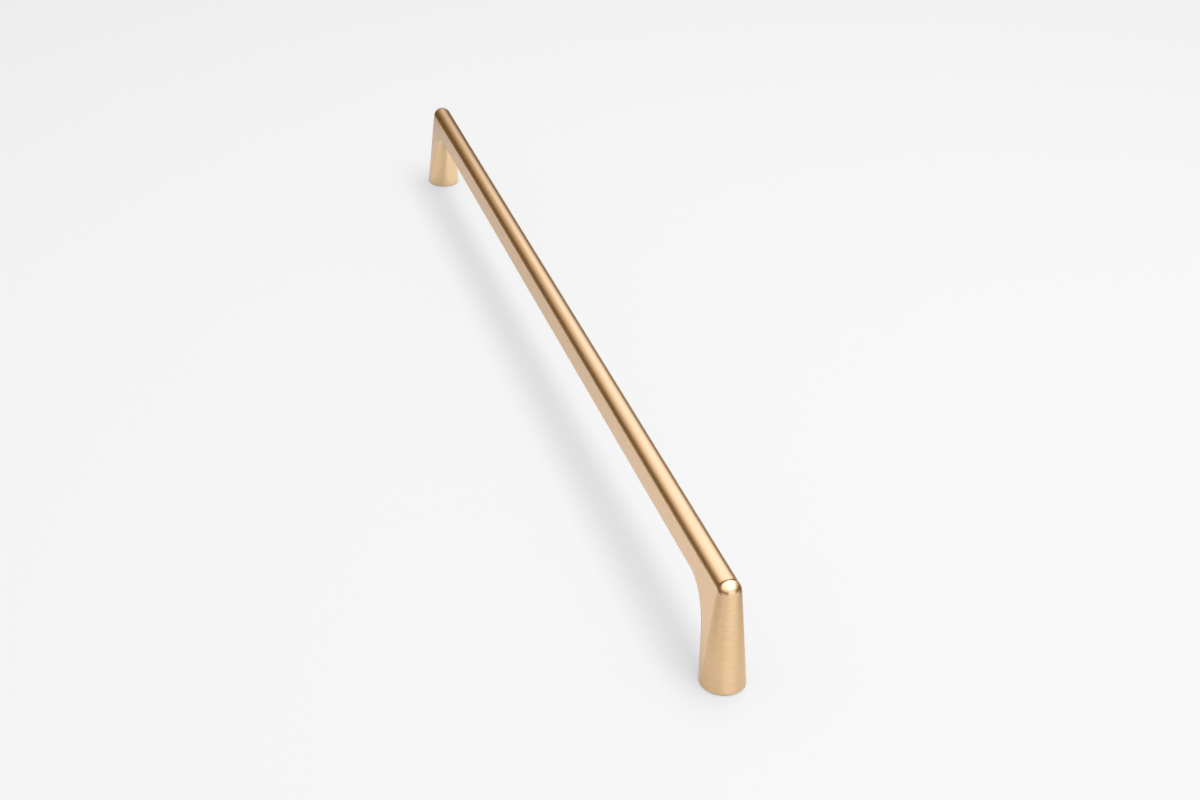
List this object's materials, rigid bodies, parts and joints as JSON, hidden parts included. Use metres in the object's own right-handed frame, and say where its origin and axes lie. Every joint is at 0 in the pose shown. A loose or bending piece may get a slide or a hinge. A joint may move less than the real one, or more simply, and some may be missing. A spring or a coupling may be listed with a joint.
{
  "type": "bar handle",
  "caption": "Slim bar handle with a half-round crown, tapered legs on round feet and a tapped hole in each foot, for pulling a drawer or cabinet door.",
  "frame": {"origin": "midway between the two fixing screws, on the mounting face under the feet", "axes": "+X along the bar, +Z away from the door or drawer front, towards the crown of the bar"},
  "size_m": [0.3312, 0.0114, 0.0293],
  "materials": {
    "brushed_brass": "satin brushed"
  },
  "bodies": {
    "root": {"bar_handle": "brushed_brass"}
  },
  "joints": []
}
